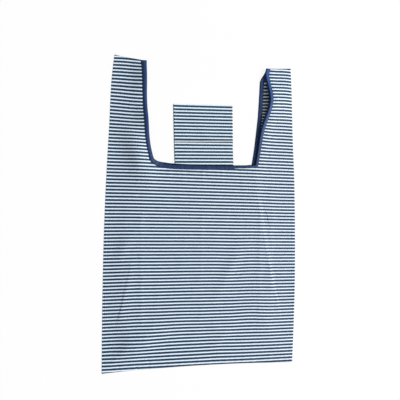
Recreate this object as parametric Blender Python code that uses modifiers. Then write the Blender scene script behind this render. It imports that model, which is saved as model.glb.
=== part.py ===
"""A foldable vest-style shopping bag, lying flat with its front up.

Two striped fabric panels are sewn together along the sides, the bottom and the
tops of the two handles. One bias tape binds the whole mouth and the inner edges
of the handles, and a folded pouch, into which the bag packs, stands up out of
the mouth. Metres. +X is to the right of the front, +Y runs towards the handles
and +Z is up, away from the surface that the bag lies on.
"""

import math

import bmesh
import bpy
import numpy as np

# Cut of the bag
BAG_LENGTH = 0.555
BAG_WIDTH = 0.355
TOP_WIDTH = 0.327
BOTTOM_WIDTH = 0.352
WIDEST_BELOW_TOP = 0.368
BOTTOM_RISE = 0.0047
BOTTOM_TILT = 0.0030

# Cut-out between the handles
GAP_WIDTH = 0.2120
MOUTH_WIDTH = 0.1840
MOUTH_DEPTH = 0.1878
MOUTH_TILT = 0.020
FLARE_LENGTH = 0.096
FLARE_POWER = 1.4
CORNER_RISE_LEFT = 0.0060
CORNER_RISE_RIGHT = 0.0020
CORNER_RISE_LENGTH = 0.013
CORNER_RADIUS = 0.006
HANDLE_TOP_SLANT = 0.0055
LEFT_HANDLE_SHORTER = 0.0016
HANDLE_LEAN = 0.0005
GAP_SHIFT = 0.0032

# Cloth, tape and the clearance between layers
FABRIC = 0.0005
TAPE = 0.0005
TAPE_WIDTH = 0.0080
CLEARANCE = 0.0003

# How the front lies over the back
LOFT_REACH = 0.045
BOUND_REACH = 0.010
BOUND_BLEND = 0.016

# The right handle's front strap stands open in an arch
OPEN_SHIFT = 0.0060
OPEN_BULGE = 0.0105
OPEN_LOW = 0.0045
OPEN_HEIGHT = 0.0130
OPEN_BELOW_TOP = 0.064
OPEN_SPREAD_UP = 0.035
OPEN_SPREAD_DOWN = 0.031
PINCH = 0.0105
PINCH_FRONT_LENGTH = 0.012
PINCH_BACK_LENGTH = 0.026
BACK_LIFT_LENGTH = 0.040

# Soft folds of the front: centre x and its distance below the handle tops,
# half-length, half-width, angle in degrees from +X, height
FOLDS = (
    (-0.140, 0.075, 0.030, 0.010, -62.0, 0.0026),
    (-0.152, 0.150, 0.046, 0.014, -66.0, 0.0030),
    (-0.050, 0.470, 0.070, 0.026, 35.0, 0.0024),
    (0.060, 0.450, 0.055, 0.022, 52.0, 0.0022),
    (0.030, 0.330, 0.110, 0.050, 80.0, 0.0026),
)

# Pouch
POUCH_WIDTH = 0.1095
POUCH_HEIGHT = 0.1095
POUCH_TAB = 0.0075
POUCH_X = -0.0023
POUCH_TURN = math.radians(2.0)
FLAP_LENGTH = 0.0680
POCKET_UNDERLAP = 0.018
POUCH_DROP_LENGTH = 0.030

# Print
STRIPE_PERIOD = 0.0060
NAVY_SHARE = 0.46
NAVY = (0.035, 0.060, 0.110, 1.0)
WHITE = (0.72, 0.80, 0.90, 1.0)
TAPE_NAVY = (0.012, 0.026, 0.130, 1.0)

# Fineness of the meshes
STRAP_STATIONS = 18
CORNER_STATIONS = 6
MOUTH_STATIONS = 14
SIDE_STATIONS = 2
RUNGS = 12
TURN_STATIONS = 5
POUCH_COLUMNS = 7

TOP_Y = BAG_LENGTH / 2
MOUTH_Y = TOP_Y - MOUTH_DEPTH
WIDEST_Y = TOP_Y - WIDEST_BELOW_TOP

# Heights of the middle of each layer above the surface that the bag lies on
LAYER = FABRIC + CLEARANCE
TAPE_OUTSIDE = FABRIC / 2 + CLEARANCE + TAPE
TAPE_MIDDLE = TAPE_OUTSIDE - TAPE / 2
BACK_FLAT = FABRIC / 2
BACK_BOUND = TAPE_OUTSIDE
FRONT_SEAM = BACK_FLAT + LAYER
FRONT_BOUND = BACK_BOUND + 2 * TAPE_OUTSIDE + CLEARANCE
POUCH_IN_MOUTH = BACK_BOUND + TAPE_OUTSIDE + CLEARANCE + FABRIC / 2
FRONT_MOUTH = FRONT_BOUND + LAYER + LAYER


def smooth(t):
    """Rises from 0 to 1 as t does, level at both ends."""
    t = np.clip(t, 0.0, 1.0)
    return t * t * (3.0 - 2.0 * t)


def handle_top(side):
    """Where a handle's top seam ends: its outer and its inner corner."""
    outer = TOP_Y - LEFT_HANDLE_SHORTER * (side < 0)
    return outer, outer - HANDLE_TOP_SLANT


def lean(y):
    """How far to the left the handles lie at height y."""
    return HANDLE_LEAN * smooth((y - WIDEST_Y) / (TOP_Y - WIDEST_Y))


def half_width(y):
    """Half of the bag's width: full at WIDEST_Y, narrower towards both ends."""
    above = np.clip((y - WIDEST_Y) / (TOP_Y - WIDEST_Y), 0.0, 1.0)
    below = np.clip((WIDEST_Y - y) / (WIDEST_Y + TOP_Y), 0.0, 1.0)
    narrowing = (BAG_WIDTH - TOP_WIDTH) * above**2 + (BAG_WIDTH - BOTTOM_WIDTH) * below**2
    return (BAG_WIDTH - narrowing) / 2


def bottom_y(x):
    """The bottom seam: its corners hang lower than its middle, the left one most."""
    reach = x / (BOTTOM_WIDTH / 2)
    return -TOP_Y + BOTTOM_RISE * (1 - reach**2) + BOTTOM_TILT * (1 + reach) / 2


def gap_half(y):
    """Half of the gap between the handles: straight above, flaring in to the mouth."""
    t = np.clip((MOUTH_Y + FLARE_LENGTH - y) / FLARE_LENGTH, 0.0, 1.0)
    return GAP_WIDTH / 2 - (GAP_WIDTH - MOUTH_WIDTH) / 2 * t**FLARE_POWER


def opening(y):
    """How open the right handle is: 1 where it bulges most, 0 far from there."""
    away = y - (TOP_Y - OPEN_BELOW_TOP)
    spread = np.where(away > 0, OPEN_SPREAD_UP, OPEN_SPREAD_DOWN)
    return np.exp(-0.5 * (away / spread) ** 2)


def right_shift(y, front):
    """How far the right handle's inner edge is drawn towards its outer edge."""
    top = handle_top(1)[1]
    if front:
        apart = OPEN_SHIFT + OPEN_BULGE * opening(y)
        pinched = smooth((y - top) / PINCH_FRONT_LENGTH + 1)
    else:
        apart = 0.0
        pinched = smooth((y - top) / PINCH_BACK_LENGTH + 1)
    return apart + (PINCH - apart) * pinched


def inner_x(y, side, front):
    """The bound inner edge of one handle: side is -1 for the left, 1 for the right."""
    x = side * gap_half(y) - lean(y) - GAP_SHIFT
    return x + right_shift(y, front) * (side > 0)


def outer_x(y, side):
    """The bag's own side edge at height y."""
    return side * half_width(y) - lean(y)


def mouth_y(x, ends):
    """The mouth's edge between its corners: nearly straight, rising at both ends."""
    left, right = ends
    rise = CORNER_RISE_LEFT * np.exp((left - x) / CORNER_RISE_LENGTH)
    rise = rise + CORNER_RISE_RIGHT * np.exp((x - right) / CORNER_RISE_LENGTH)
    return MOUTH_Y + MOUTH_TILT * x + rise


def rounded(start, corner, end, count):
    """Points inside a corner, on the parabola that leaves both of its sides level."""
    t = np.linspace(0, 1, count + 2)[1:-1, None]
    return start * (1 - t) ** 2 + 2 * corner * t * (1 - t) + end * t**2


def gap_outline(front):
    """The U of the mouth, as points from the left handle's top to the right one's."""
    corners = []
    for side in (-1, 1):
        y = MOUTH_Y + (CORNER_RISE_LEFT if side < 0 else CORNER_RISE_RIGHT)
        corners.append(np.array([inner_x(y, side, front), y]))
    ends = (corners[0][0], corners[1][0])
    mouth = np.linspace(ends[0] + CORNER_RADIUS, ends[1] - CORNER_RADIUS, MOUTH_STATIONS)
    mouth = np.column_stack([mouth, mouth_y(mouth, ends)])
    straps = []
    turns = []
    for side, corner, beside in ((-1, corners[0], mouth[0]), (1, corners[1], mouth[-1])):
        y = np.linspace(handle_top(side)[1], corner[1] + CORNER_RADIUS, STRAP_STATIONS)
        strap = np.column_stack([inner_x(y, side, front), y])
        straps.append(strap)
        turns.append(rounded(strap[-1], corner, beside, CORNER_STATIONS))
    left = np.vstack([straps[0], turns[0]])
    right = np.vstack([straps[1], turns[1]])
    return np.vstack([left, mouth, right[::-1]])


def outer_outline():
    """The sewn outer edge, one point for each point of the U that faces it."""
    handle_low = MOUTH_Y - 0.25 * (MOUTH_Y + TOP_Y)
    side_low = MOUTH_Y - 0.80 * (MOUTH_Y + TOP_Y)
    sides = []
    for side in (-1, 1):
        foot = bottom_y(side * BOTTOM_WIDTH / 2)
        y = np.concatenate(
            [
                np.linspace(handle_top(side)[0], handle_low, STRAP_STATIONS),
                np.linspace(handle_low, side_low, CORNER_STATIONS + 1)[1:],
                np.linspace(side_low, foot, SIDE_STATIONS + 1)[1:],
            ]
        )
        sides.append(np.column_stack([outer_x(y, side), y]))
    x = np.linspace(sides[0][-1][0], sides[1][-1][0], MOUTH_STATIONS - 2 * SIDE_STATIONS + 2)[1:-1]
    bottom = np.column_stack([x, bottom_y(x)])
    return np.vstack([sides[0], bottom, sides[1][::-1]])


def away_from_gap(outline):
    """Unit vectors in the cloth's plane that point from the U into the cloth."""
    along = np.gradient(outline, axis=0)
    along /= np.linalg.norm(along, axis=1)[:, None]
    return np.column_stack([along[:, 1], -along[:, 0]])


def distance_to(points, line):
    """The distance of each point from a line of joined points."""
    start, step = line[:-1], np.diff(line, axis=0)
    offset = points[:, None, :] - start
    t = np.clip((offset * step).sum(-1) / (step**2).sum(-1), 0.0, 1.0)
    return np.linalg.norm(offset - t[..., None] * step, axis=-1).min(axis=1)


def across_right_handle(points, front):
    """0 at the right handle's inner edge, 1 at its outer edge."""
    inner = inner_x(points[:, 1], 1, front)
    outer = outer_x(points[:, 1], 1)
    return np.clip((points[:, 0] - inner) / (outer - inner), 0.0, 1.0)


def arch(points, front):
    """Height of the arch that the open right handle stands in."""
    y = points[:, 1]
    high = (OPEN_LOW + OPEN_HEIGHT * opening(y)) * smooth((y - MOUTH_Y) / FLARE_LENGTH)
    right = points[:, 0] > 0
    return right * high * np.sin(math.pi * (0.25 + 0.75 * across_right_handle(points, front)))


def back_height(points):
    """Height of the middle of the back panel's cloth."""
    bound = 1 - smooth((distance_to(points, GAP_BACK) - BOUND_REACH) / BOUND_BLEND)
    lifted = smooth((points[:, 1] - TOP_Y) / BACK_LIFT_LENGTH + 1)
    return BACK_FLAT + (BACK_BOUND - BACK_FLAT) * bound + arch(points, False) * lifted


def fold_height(points):
    """The soft folds, each a long low hump."""
    height = np.zeros(len(points))
    for x, below_top, half_long, half_wide, angle, high in FOLDS:
        turn = math.radians(angle)
        dx = points[:, 0] - x
        dy = points[:, 1] - (TOP_Y - below_top)
        along = (dx * math.cos(turn) + dy * math.sin(turn)) / half_long
        across = (dy * math.cos(turn) - dx * math.sin(turn)) / half_wide
        height += high * np.exp(-(along**2) - across**2)
    return height


def front_height(points):
    """Height of the middle of the front panel's cloth."""
    from_gap = distance_to(points, GAP_FRONT)
    from_seam = distance_to(points, OUTER)
    bound = 1 - smooth((from_gap - BOUND_REACH) / BOUND_BLEND)
    loft = smooth(from_seam / LOFT_REACH)
    seam = FRONT_SEAM + (FRONT_BOUND - FRONT_SEAM) * bound
    full = FRONT_MOUTH - seam
    return seam + (full + fold_height(points)) * loft + arch(points, True)


def grid_object(name, columns, rows, places, closed=False):
    """A grid of faces with its points at places[row, column], as an open surface."""
    mesh = bpy.data.meshes.new(name)
    grid = bmesh.new()
    bmesh.ops.create_grid(grid, x_segments=columns - 1, y_segments=rows - 1, size=1.0)
    for vertex, place in zip(grid.verts, places.reshape(-1, 3)):
        vertex.co = place
    if closed:
        bmesh.ops.remove_doubles(grid, verts=grid.verts, dist=1e-7)
    grid.to_mesh(mesh)
    grid.free()
    mesh.shade_smooth()
    item = bpy.data.objects.new(name, mesh)
    bag.objects.link(item)
    return item


def thicken(item, thickness):
    """Gives an open surface its thickness, half on each side."""
    solidify = item.modifiers.new("Thickness", "SOLIDIFY")
    solidify.thickness = thickness
    solidify.offset = 0.0
    solidify.use_even_offset = True
    solidify.use_quality_normals = True


def panel(name, outline, height, material):
    """One side of the bag: a sheet spanned between the U and the outer edge."""
    inner = outline + away_from_gap(outline) * TAPE_OUTSIDE
    inner[[0, -1], 1] = outline[[0, -1], 1]
    rows = []
    for start, end in zip(inner, OUTER):
        reach = np.linalg.norm(end - start)
        power = 1 + 0.7 * smooth((reach - HANDLE_SPAN) / (2 * HANDLE_SPAN))
        t = np.linspace(0, 1, RUNGS + 1)[:, None] ** power
        plan = start + (end - start) * t
        rows.append(np.column_stack([plan, height(plan)]))
    item = grid_object(name, RUNGS + 1, len(outline), np.array(rows))
    thicken(item, FABRIC)
    item.data.materials.append(material)
    return item


def tape_profile():
    """The folded tape's section: how far into the cloth, and how far off its middle."""
    into = (TAPE_WIDTH - TAPE_OUTSIDE) * np.array([1.0, 0.5, 0.0])
    turn = np.linspace(0, math.pi, 5)[1:-1]
    fold = np.column_stack([-np.sin(turn), np.cos(turn)]) * TAPE_MIDDLE
    over = np.column_stack([into, np.full(3, TAPE_MIDDLE)])
    under = np.column_stack([into[::-1], np.full(3, -TAPE_MIDDLE)])
    return np.vstack([over, fold, under])


def surface(plan, height):
    """Points of a panel's middle and its upward unit normals there."""
    step = 1e-4
    z = height(plan)
    slope_x = (height(plan + [step, 0]) - z) / step
    slope_y = (height(plan + [0, step]) - z) / step
    normal = np.column_stack([-slope_x, -slope_y, np.ones(len(plan))])
    normal /= np.linalg.norm(normal, axis=1)[:, None]
    return np.column_stack([plan, z]), normal


def tape_side(outline, height, up):
    """The tape along one panel's U: places[station, profile point]."""
    into = away_from_gap(outline)
    into[0], into[-1] = (-1, 0), (1, 0)
    edge = outline + into * TAPE_OUTSIDE
    bases, tops = [], []
    for depth, off in tape_profile():
        base, normal = surface(edge + into * max(depth, 0.0), height)
        bases.append(base + np.column_stack([into * min(depth, 0.0), np.zeros(len(into))]))
        tops.append(normal * off * up)
    return np.stack(bases, 1), np.stack(tops, 1)


def tape_turn(front_base, back_base, off):
    """The tape where it turns over the top of a handle, from the front to the back."""
    middle = (front_base + back_base) / 2
    radius = np.linalg.norm(front_base - back_base, axis=1)[:, None] / 2 + off[:, None]
    angles = np.linspace(0, math.pi, TURN_STATIONS + 2)[1:-1]
    away = np.array([0.0, 1.0, 0.0])
    up = np.array([0.0, 0.0, 1.0])
    return [middle + radius * (math.cos(a) * up + math.sin(a) * away) for a in angles]


def binding(material):
    """The bias tape, once round the whole mouth."""
    front_base, front_off = tape_side(GAP_FRONT, front_height, 1)
    back_base, back_off = tape_side(GAP_BACK, back_height, -1)
    front = front_base + front_off
    back = back_base + back_off
    off = tape_profile()[:, 1]
    over_right = tape_turn(front_base[-1], back_base[-1], off)
    over_left = tape_turn(front_base[0], back_base[0], off)[::-1]
    loop = [*front, *over_right, *back[::-1], *over_left, front[0]]
    item = grid_object("mouth_binding", len(off), len(loop), np.array(loop), closed=True)
    thicken(item, TAPE)
    item.data.materials.append(material)
    return item


def pouch_section():
    """The pouch's folded strip, seen from its side: y up the pouch, z off its back."""
    low, high = -POUCH_TAB, POUCH_HEIGHT
    hem = high - FLAP_LENGTH
    fold_low = LAYER / 2
    fold_high = LAYER
    turn = np.linspace(0, math.pi, 5)
    pocket = np.column_stack([np.linspace(hem + POCKET_UNDERLAP, low + fold_low, 9), np.full(9, LAYER)])
    bottom = np.column_stack([-np.sin(turn), 1 + np.cos(turn)]) * fold_low + [low + fold_low, 0]
    back = np.column_stack([np.linspace(low + fold_low, high - fold_high, 12), np.zeros(12)])
    top = np.column_stack([np.sin(turn), 1 - np.cos(turn)]) * fold_high + [high - fold_high, 0]
    flap = np.column_stack([np.linspace(high - fold_high, hem, 7), np.full(7, 2 * fold_high)])
    return np.vstack([pocket, bottom[1:-1], back, top[1:-1], flap])


def pouch(material):
    """One strip, folded into a pocket with a flap over it, stitched in at the mouth."""
    section = pouch_section()
    across = np.linspace(-POUCH_WIDTH / 2, POUCH_WIDTH / 2, POUCH_COLUMNS)
    up, off = section[:, :1], section[:, 1:]
    x = across[None, :] * math.cos(POUCH_TURN) - up * math.sin(POUCH_TURN) + POUCH_X
    y = across[None, :] * math.sin(POUCH_TURN) + up * math.cos(POUCH_TURN) + MOUTH_Y
    drop = smooth(up / POUCH_DROP_LENGTH)
    z = POUCH_IN_MOUTH + (BACK_FLAT - POUCH_IN_MOUTH) * drop + off + 0 * across[None, :]
    places = np.stack([x, y, z], -1)
    item = grid_object("pouch", POUCH_COLUMNS, len(section), places)
    thicken(item, FABRIC)
    item.data.materials.append(material)
    return item


def striped(name):
    """Woven fabric with a navy stripe across it at every STRIPE_PERIOD."""
    material = bpy.data.materials.new(name)
    material.use_nodes = True
    nodes, links = material.node_tree.nodes, material.node_tree.links
    shader = nodes["Principled BSDF"]
    shader.inputs["Roughness"].default_value = 0.6
    shader.inputs["Metallic"].default_value = 0.0
    place = nodes.new("ShaderNodeTexCoord")
    split = nodes.new("ShaderNodeSeparateXYZ")
    turns = nodes.new("ShaderNodeMath")
    turns.operation = "DIVIDE"
    turns.inputs[1].default_value = STRIPE_PERIOD
    phase = nodes.new("ShaderNodeMath")
    phase.operation = "FRACT"
    navy = nodes.new("ShaderNodeMath")
    navy.operation = "LESS_THAN"
    navy.inputs[1].default_value = NAVY_SHARE
    colour = nodes.new("ShaderNodeMix")
    colour.data_type = "RGBA"
    colour.inputs["A"].default_value = WHITE
    colour.inputs["B"].default_value = NAVY
    links.new(place.outputs["Object"], split.inputs[0])
    links.new(split.outputs["Y"], turns.inputs[0])
    links.new(turns.outputs[0], phase.inputs[0])
    links.new(phase.outputs[0], navy.inputs[0])
    links.new(navy.outputs[0], colour.inputs["Factor"])
    links.new(colour.outputs["Result"], shader.inputs["Base Color"])
    material.diffuse_color = WHITE
    return material


def plain(name, colour, roughness):
    """One colour all over."""
    material = bpy.data.materials.new(name)
    material.use_nodes = True
    shader = material.node_tree.nodes["Principled BSDF"]
    shader.inputs["Base Color"].default_value = colour
    shader.inputs["Roughness"].default_value = roughness
    shader.inputs["Metallic"].default_value = 0.0
    material.diffuse_color = colour
    return material


for old in list(bpy.data.objects):
    bpy.data.objects.remove(old)

bag = bpy.data.collections.new("foldable shopping bag")
bpy.context.scene.collection.children.link(bag)

GAP_FRONT = gap_outline(True)
GAP_BACK = gap_outline(False)
OUTER = outer_outline()
HANDLE_SPAN = np.linalg.norm(OUTER[0] - GAP_BACK[0])

panel("back_panel", GAP_BACK, back_height, striped("striped fabric, back"))
panel("front_panel", GAP_FRONT, front_height, striped("striped fabric, front"))
binding(plain("navy bias tape", TAPE_NAVY, 0.4))
pouch(striped("striped fabric, pouch"))
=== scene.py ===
"""Looks of a foldable vest-style shopping bag that lies flat with its front up.

Two panels of striped polyester, a folded pouch that lies up out of the mouth,
and one navy bias tape round the mouth and both handles, with its stitching.
Metres. +X is to the right of the front, +Y runs towards the handles, +Z is up.
"""

import math

import bpy
import numpy as np
from mathutils import Matrix, Vector


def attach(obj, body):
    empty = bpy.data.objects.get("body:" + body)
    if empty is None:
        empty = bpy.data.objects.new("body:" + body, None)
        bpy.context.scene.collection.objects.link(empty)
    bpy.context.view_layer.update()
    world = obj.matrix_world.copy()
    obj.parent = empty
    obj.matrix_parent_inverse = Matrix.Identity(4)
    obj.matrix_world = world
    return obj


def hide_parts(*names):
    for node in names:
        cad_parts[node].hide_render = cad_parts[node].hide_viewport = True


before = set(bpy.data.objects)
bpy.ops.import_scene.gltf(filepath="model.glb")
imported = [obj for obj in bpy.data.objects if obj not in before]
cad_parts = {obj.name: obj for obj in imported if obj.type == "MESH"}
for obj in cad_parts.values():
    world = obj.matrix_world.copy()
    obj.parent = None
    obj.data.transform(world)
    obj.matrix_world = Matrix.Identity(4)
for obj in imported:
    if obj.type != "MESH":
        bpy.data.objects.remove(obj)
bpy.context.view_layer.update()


# Back panel: one sheet of plain-woven polyester, printed with narrow navy
# stripes. It lies flat on the surface, and it is sewn to the front along both
# sides, the bottom and the tops of the handles.

# The cut, and how its bottom edge lies
BAG_LENGTH = 0.555
BAG_WIDTH = 0.355
TOP_WIDTH = 0.327
BOTTOM_WIDTH = 0.352
WIDEST_BELOW_TOP = 0.368
BOTTOM_RISE = 0.0047
BOTTOM_TILT = 0.0030
BOTTOM_SAG = 0.0009
TOP_Y = BAG_LENGTH / 2
WIDEST_Y = TOP_Y - WIDEST_BELOW_TOP

# The U between the handles, with its mouth, its two corners and the handle tops
GAP_WIDTH = 0.2120
MOUTH_WIDTH = 0.1840
MOUTH_DEPTH = 0.1878
MOUTH_TILT = 0.020
FLARE_LENGTH = 0.096
FLARE_POWER = 1.4
CORNER_RISE_LEFT = 0.0105
CORNER_RISE_RIGHT = 0.0020
CORNER_RISE_LENGTH = 0.012
CORNER_RADIUS = 0.0014
CORNER_DRAWN_IN = 0.0030
CORNER_DRAWN_SPREAD = 0.016
LEFT_TOP_SLANT = 0.0080
RIGHT_TOP_SLANT = 0.0055
LEFT_HANDLE_SHORTER = 0.0008
HANDLE_LEAN = 0.0005
GAP_SHIFT = 0.0032
GAP_BOW = 0.0030
GAP_BOW_Y = 0.168
GAP_BOW_SPREAD = 0.036
MOUTH_Y = TOP_Y - MOUTH_DEPTH

# The right handle, whose front strap stands open in a low arch over the back one
OPEN_SHIFT = 0.0060
OPEN_BULGE = 0.0117
OPEN_LOW = 0.0045
OPEN_HEIGHT = 0.0130
OPEN_BELOW_TOP = 0.065
OPEN_SPREAD = 0.027
ARCH_SHARE = 0.52
ARCH_FALL = 1.8
PINCH = 0.0105
PINCH_FRONT_LENGTH = 0.012
PINCH_BACK_LENGTH = 0.026
BACK_LIFT_LENGTH = 0.040

# Thickness and height of the layers, here and in the solids
CLOTH = 0.00025
CAD_CLOTH = 0.0005
CAD_TAPE = 0.0005
CLEARANCE = 0.0003
TAPE_OUTSIDE = CAD_CLOTH / 2 + CLEARANCE + CAD_TAPE
BACK_FLAT = CAD_CLOTH / 2
BACK_BOUND = TAPE_OUTSIDE
BOUND_REACH = 0.010
BOUND_BLEND = 0.016

# The sewn edge: the cloth rolls over to it and puckers
SEAM_HEIGHT = 0.00065
SEAM_ROLL = 0.0022
SEAM_APART = 0.6
SEAM_FLAT = 0.0025
PUCKER_PITCH = 0.0105
PUCKER_DEPTH = 0.00055
PUCKER_REACH = 0.011

# The grid: stations along the U and the outer edge, and rungs from one to the
# other. The shares say how far down the sides the handles' and corners' rungs go.
STRAP_STATIONS = 104
CORNER_STATIONS = 18
MOUTH_STATIONS = 190
SIDE_STATIONS = 26
HANDLE_RUNGS_DOWN = 0.25
CORNER_RUNGS_DOWN = 0.80
RUNGS = 104
RUNG_BUNCHING = 0.62
RAW_EDGE_INSIDE = 0.0011
LOOK_AROUND = 24

# How the side edges happen to lie: side, centre y, spread, how far to the right
SIDE_LIES = (
    (-1, 0.2355, 0.042, -0.0026),
    (1, 0.1500, 0.050, -0.0017),
    (1, -0.1450, 0.070, 0.0016),
)

# The sines of an uneven wave: times the pitch, times the seed, start, weight
WAVES = (
    (1.000, 1.0, 0.0, 1.0),
    (1.618, 2.3, 1.0, 0.8),
    (0.731, 3.1, 2.0, 0.5),
)


def smooth(t):
    """Rises from 0 to 1 as t does, level at both ends: 3t^2 - 2t^3."""
    t = np.clip(t, 0.0, 1.0)
    return t * t * (3.0 - 2.0 * t)


def bell(away):
    """A bell curve: 1 in its middle, e^-0.5 at one spread away."""
    return np.exp(-0.5 * away**2)


def handle_top(side):
    """Where a handle's top seam ends: its outer and its inner corner."""
    if side < 0:
        return TOP_Y - LEFT_HANDLE_SHORTER, TOP_Y - LEFT_HANDLE_SHORTER - LEFT_TOP_SLANT
    return TOP_Y, TOP_Y - RIGHT_TOP_SLANT


def lean(y):
    """How far to the left the handles lie at height y."""
    return HANDLE_LEAN * smooth((y - WIDEST_Y) / (TOP_Y - WIDEST_Y))


def half_width(y):
    """Half of the width: full at WIDEST_Y, narrower with the square of the way up or down."""
    above = np.clip((y - WIDEST_Y) / (TOP_Y - WIDEST_Y), 0.0, 1.0)
    below = np.clip((WIDEST_Y - y) / (WIDEST_Y + TOP_Y), 0.0, 1.0)
    narrowing = (BAG_WIDTH - TOP_WIDTH) * above**2 + (BAG_WIDTH - BOTTOM_WIDTH) * below**2
    return (BAG_WIDTH - narrowing) / 2


def bottom_y(x):
    """The bottom seam: a shallow parabola whose left corner hangs lowest."""
    reach = x / (BOTTOM_WIDTH / 2)
    return -TOP_Y + BOTTOM_RISE * (1 - reach**2) + BOTTOM_TILT * (1 + reach) / 2 - BOTTOM_SAG


def gap_half(y):
    """Half of the gap: it narrows to the mouth as a power, and bows in on a bell curve."""
    t = np.clip((MOUTH_Y + FLARE_LENGTH - y) / FLARE_LENGTH, 0.0, 1.0)
    bow = GAP_BOW * bell((y - GAP_BOW_Y) / GAP_BOW_SPREAD)
    return GAP_WIDTH / 2 - (GAP_WIDTH - MOUTH_WIDTH) / 2 * t**FLARE_POWER - bow


def opening(y):
    """How open the right handle is: a bell curve, 1 where it bulges most."""
    return bell((y - (TOP_Y - OPEN_BELOW_TOP)) / OPEN_SPREAD)


def right_shift(y, front):
    """How far the right handle's inner edge is drawn towards its outer edge."""
    top = handle_top(1)[1]
    apart = OPEN_SHIFT + OPEN_BULGE * opening(y) if front else 0.0
    pinched = smooth((y - top) / (PINCH_FRONT_LENGTH if front else PINCH_BACK_LENGTH) + 1)
    return apart + (PINCH - apart) * pinched


def inner_x(y, side, front):
    """The bound inner edge of one handle: side is -1 for the left, 1 for the right."""
    x = side * gap_half(y) - lean(y) - GAP_SHIFT
    if side > 0:
        return x + right_shift(y, front)
    return x + CORNER_DRAWN_IN * bell((y - MOUTH_Y) / CORNER_DRAWN_SPREAD)


def outer_x(y, side):
    """The bag's own side edge at height y, eased to the left or right on bell curves."""
    x = side * half_width(y) - lean(y)
    for where, centre, spread, far in SIDE_LIES:
        if where == side:
            x = x + far * bell((y - centre) / spread)
    return x


def mouth_y(x, ends):
    """The mouth's edge: a straight line that rises exponentially at both ends."""
    left, right = ends
    rise = CORNER_RISE_LEFT * np.exp((left - x) / CORNER_RISE_LENGTH)
    rise = rise + CORNER_RISE_RIGHT * np.exp((x - right) / CORNER_RISE_LENGTH)
    return MOUTH_Y + MOUTH_TILT * x + rise


def rounded(start, corner, end, count):
    """Points inside a corner, on the parabola that leaves both of its sides level."""
    t = np.linspace(0, 1, count + 2)[1:-1, None]
    return start * (1 - t) ** 2 + 2 * corner * t * (1 - t) + end * t**2


def gap_outline(front):
    """The U of the mouth, as points from the left handle's top to the right one's."""
    corners = []
    for side in (-1, 1):
        y = MOUTH_Y + (CORNER_RISE_LEFT if side < 0 else CORNER_RISE_RIGHT)
        corners.append(np.array([inner_x(y, side, front), y]))
    ends = (corners[0][0], corners[1][0])
    mouth = np.linspace(ends[0] + CORNER_RADIUS, ends[1] - CORNER_RADIUS, MOUTH_STATIONS)
    mouth = np.column_stack([mouth, mouth_y(mouth, ends)])
    halves = []
    for side, corner, beside in ((-1, corners[0], mouth[0]), (1, corners[1], mouth[-1])):
        y = np.linspace(handle_top(side)[1], corner[1] + CORNER_RADIUS, STRAP_STATIONS)
        strap = np.column_stack([inner_x(y, side, front), y])
        halves.append(np.vstack([strap, rounded(strap[-1], corner, beside, CORNER_STATIONS)]))
    return np.vstack([halves[0], mouth, halves[1][::-1]])


def outer_outline():
    """The sewn outer edge, one point for each point of the U that faces it."""
    handle_low = MOUTH_Y - HANDLE_RUNGS_DOWN * (MOUTH_Y + TOP_Y)
    corner_low = MOUTH_Y - CORNER_RUNGS_DOWN * (MOUTH_Y + TOP_Y)
    sides = []
    for side in (-1, 1):
        foot = bottom_y(side * BOTTOM_WIDTH / 2)
        y = np.concatenate(
            [
                np.linspace(handle_top(side)[0], handle_low, STRAP_STATIONS),
                np.linspace(handle_low, corner_low, CORNER_STATIONS + 1)[1:],
                np.linspace(corner_low, foot, SIDE_STATIONS + 1)[1:],
            ]
        )
        sides.append(np.column_stack([outer_x(y, side), y]))
    between = MOUTH_STATIONS - 2 * SIDE_STATIONS
    x = np.linspace(sides[0][-1][0], sides[1][-1][0], between + 2)[1:-1]
    bottom = np.column_stack([x, bottom_y(x)])
    return np.vstack([sides[0], bottom, sides[1][::-1]])


def away_from_gap(outline):
    """Unit vectors in the cloth's plane that point from the U into the cloth."""
    along = np.gradient(outline, axis=0)
    along /= np.linalg.norm(along, axis=1)[:, None]
    return np.column_stack([along[:, 1], -along[:, 0]])


def nearest_on(plan, line):
    """Each place's distance from a line of joined points, and how far along it that is.

    plan[station, rung] is measured against the LOOK_AROUND segments on either side of
    its own station.
    """
    steps = np.diff(line, axis=0)
    lengths = np.linalg.norm(steps, axis=1)
    begun = np.concatenate([[0.0], np.cumsum(lengths)[:-1]])
    near = np.arange(len(plan))[:, None] + np.arange(-LOOK_AROUND, LOOK_AROUND)
    near = np.clip(near, 0, len(steps) - 1)
    step = steps[near][:, None]
    offset = plan[:, :, None, :] - line[near][:, None]
    t = np.clip((offset * step).sum(-1) / (step**2).sum(-1), 0.0, 1.0)
    away = np.linalg.norm(offset - t[..., None] * step, axis=-1)
    nearest = away.argmin(axis=-1)[..., None]
    station = np.take_along_axis(near[:, None] + 0 * nearest, nearest, -1)[..., 0]
    along = begun[station] + np.take_along_axis(t, nearest, -1)[..., 0] * lengths[station]
    return np.take_along_axis(away, nearest, -1)[..., 0], along


def across_right_handle(points, front):
    """0 at the right handle's inner edge, 1 at its outer edge."""
    inner = inner_x(points[..., 1], 1, front)
    outer = outer_x(points[..., 1], 1)
    return np.clip((points[..., 0] - inner) / (outer - inner), 0.0, 1.0)


def arch(points, front):
    """Height of the open right handle's arch.

    It is highest and level at the handle's inner edge, and falls to the seam with the
    power ARCH_FALL of the way across.
    """
    y = points[..., 1]
    high = (OPEN_LOW + OPEN_HEIGHT * opening(y)) * smooth((y - MOUTH_Y) / FLARE_LENGTH)
    right = points[..., 0] > 0
    return right * ARCH_SHARE * high * (1 - across_right_handle(points, front) ** ARCH_FALL)


def wandering(s, pitch, seed):
    """An uneven wave along s, -1 to 1: three sines whose pitches have no common measure."""
    wave = 0.0
    for times, seeded, start, weight in WAVES:
        wave = wave + weight * np.sin(2 * math.pi * s / (pitch * times) + seeded * seed + start)
    return wave / sum(weight for *_, weight in WAVES)


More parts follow.
